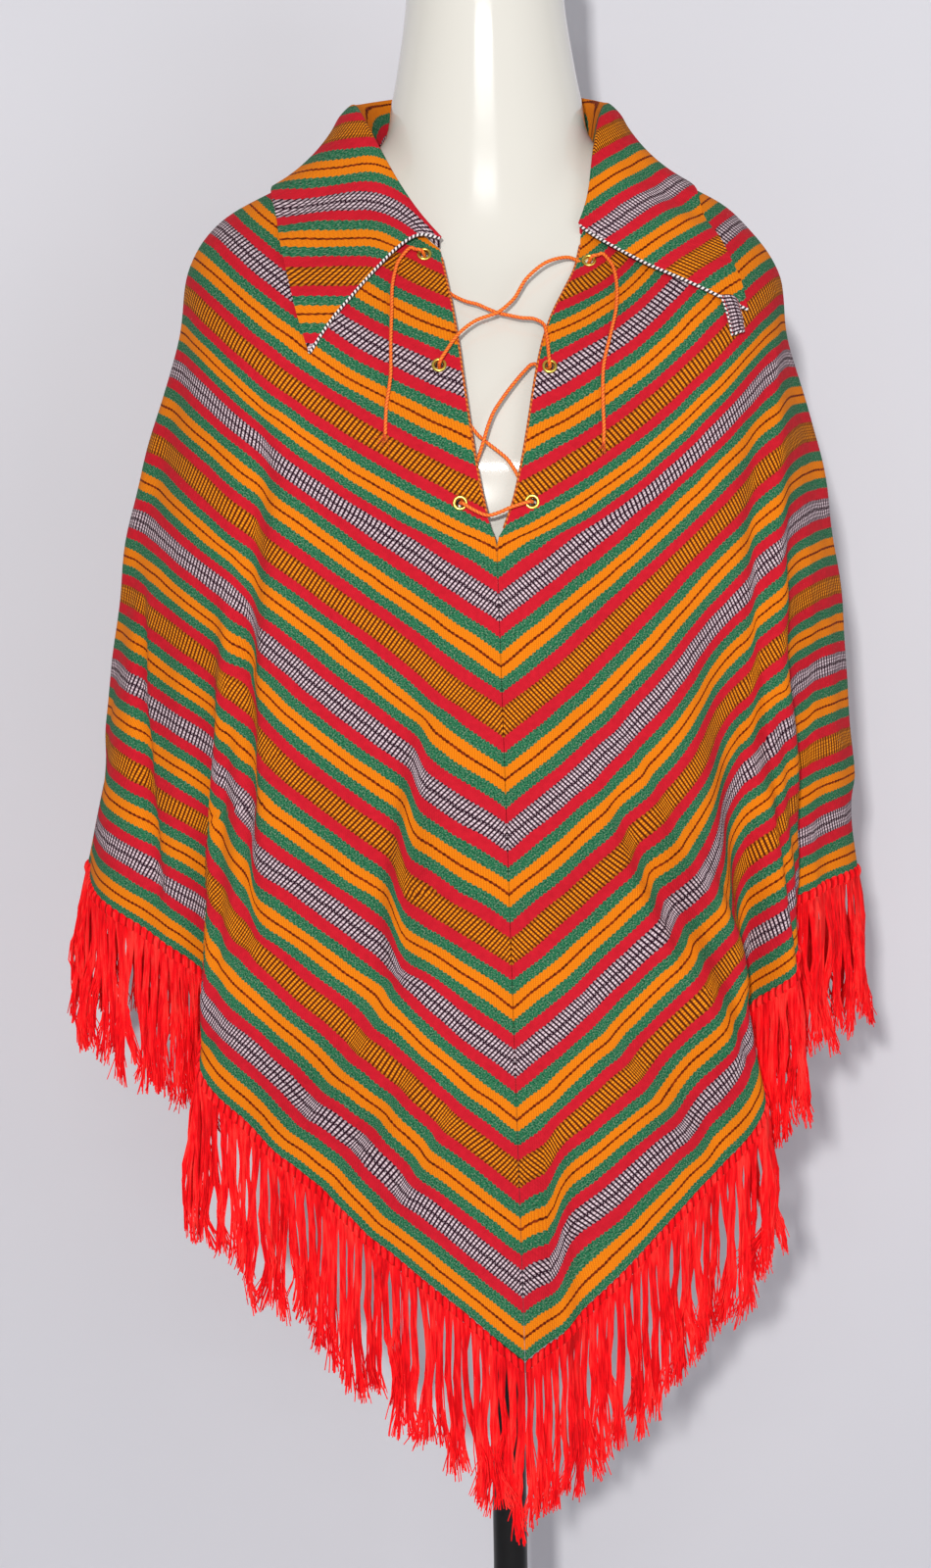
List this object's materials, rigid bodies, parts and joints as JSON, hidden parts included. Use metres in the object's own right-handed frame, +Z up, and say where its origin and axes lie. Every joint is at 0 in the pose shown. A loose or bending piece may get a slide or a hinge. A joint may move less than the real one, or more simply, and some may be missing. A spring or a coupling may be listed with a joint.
{
  "type": "poncho on a dress form",
  "caption": "Striped woven poncho with a laced neck slit, pointed collar and long fringed hem, on a limbless dress form with a pole stand.",
  "frame": {"origin": "centre of the stand base's underside, on the floor", "axes": "+Z up along the pole, front of the garment towards -Y, the wearer's left towards +X"},
  "size_m": [0.5487, 0.32, 1.6123],
  "materials": {
    "striped_cloth_left": "woven wool, striped",
    "striped_cloth_right": "woven wool, striped",
    "striped_cloth_collar": "woven wool, striped",
    "red_yarn": "matte yarn",
    "eyelet_brass": "polished",
    "orange_cord": "twisted cord",
    "form_gloss_white": "gloss",
    "stand_black": "satin"
  },
  "bodies": {
    "root": {"panel_left": "striped_cloth_left", "panel_right": "striped_cloth_right", "collar": "striped_cloth_collar", "fringe_left": "red_yarn", "fringe_right": "red_yarn", "eyelet_left_top": "eyelet_brass", "eyelet_left_middle": "eyelet_brass", "eyelet_left_bottom": "eyelet_brass", "eyelet_right_top": "eyelet_brass", "eyelet_right_middle": "eyelet_brass", "eyelet_right_bottom": "eyelet_brass", "lace_end_left": "orange_cord", "lace_laced": "orange_cord", "lace_end_right": "orange_cord", "form_body": "form_gloss_white", "form_neck_cap": "stand_black", "stand_pole": "stand_black", "stand_base": "stand_black"}
  },
  "joints": []
}
